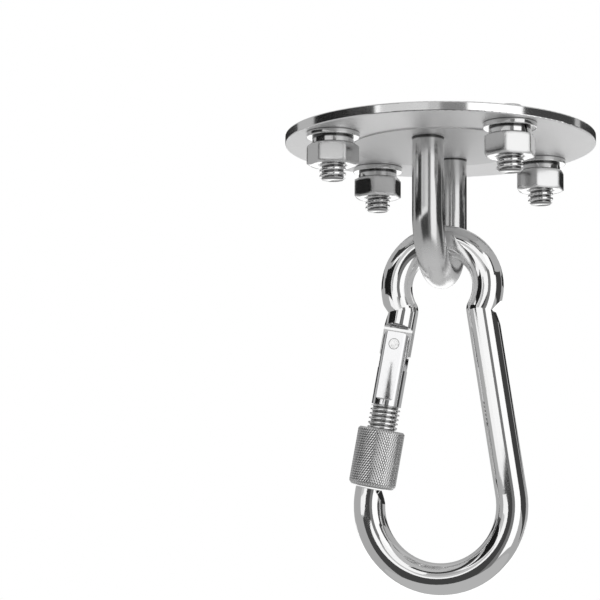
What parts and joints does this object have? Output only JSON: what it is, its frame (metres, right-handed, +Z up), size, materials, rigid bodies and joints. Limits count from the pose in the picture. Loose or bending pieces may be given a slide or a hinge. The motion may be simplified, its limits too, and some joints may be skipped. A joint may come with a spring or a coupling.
{
  "type": "ceiling hook",
  "caption": "Round ceiling plate with a welded rod eye and a screw-lock carabiner hanging in it, held by studs, washers and nuts.",
  "frame": {"origin": "centre of the plate's flat ceiling face", "axes": "+Z up into the ceiling, the rod eye lies in the YZ plane, the carabiner hangs in the XZ plane with its gate on the -X side"},
  "size_m": [0.12, 0.12, 0.1783],
  "materials": {
    "satin_plate": "satin polish",
    "polished_rod": "mirror polish",
    "polished_gate": "turned and polished",
    "knurled_sleeve": "diamond knurl",
    "nut_steel": "bright",
    "washer_steel": "bright stamped",
    "stud_steel": "rolled thread",
    "spring_wire": "drawn wire"
  },
  "bodies": {
    "ceiling_mount": {"mounting_plate": "satin_plate", "hanger_eye": "polished_rod", "stud_1": "stud_steel", "stud_2": "stud_steel", "stud_3": "stud_steel", "stud_4": "stud_steel", "flat_washer_1": "washer_steel", "flat_washer_2": "washer_steel", "flat_washer_3": "washer_steel", "flat_washer_4": "washer_steel", "spring_washer_1": "washer_steel", "spring_washer_2": "washer_steel", "spring_washer_3": "washer_steel", "spring_washer_4": "washer_steel", "hex_nut_1": "nut_steel", "hex_nut_2": "nut_steel", "hex_nut_3": "nut_steel", "hex_nut_4": "nut_steel"},
    "carabiner": {"carabiner_body": "polished_rod"},
    "gate": {"gate": "polished_gate", "gate_rivet": "polished_gate", "gate_spring": "spring_wire"},
    "plunger": {"gate_plunger": "polished_gate"},
    "sleeve": {"lock_sleeve": "knurled_sleeve"}
  },
  "joints": [
    {"name": "carabiner_swing", "type": "hinge", "parent": "ceiling_mount", "child": "carabiner", "pos_m": [0, 0, -0.053], "axis": [0, 1, 0], "range_deg": [-75, 75]},
    {"name": "gate_hinge", "type": "hinge", "parent": "carabiner", "child": "gate", "pos_m": [-0.01703, 0, -0.08054], "axis": [0, -1, 0], "range_deg": [0, 25], "stiffness_Nm_per_rad": 0.08, "springref_deg": -20.05},
    {"name": "plunger_slide", "type": "slide", "parent": "gate", "child": "plunger", "axis": [-0.1766, 0, -0.9843], "range_m": [0, 0.00075], "deforming": ["gate_spring"]},
    {"name": "sleeve_travel", "type": "slide", "parent": "gate", "child": "sleeve", "axis": [-0.1766, 0, -0.9843], "range_m": [-0.0065, 0.004]}
  ],
  "couplings": [
    {"joint": "plunger_slide", "follows": "gate_hinge", "m_per_rad": 0.0016501}
  ]
}
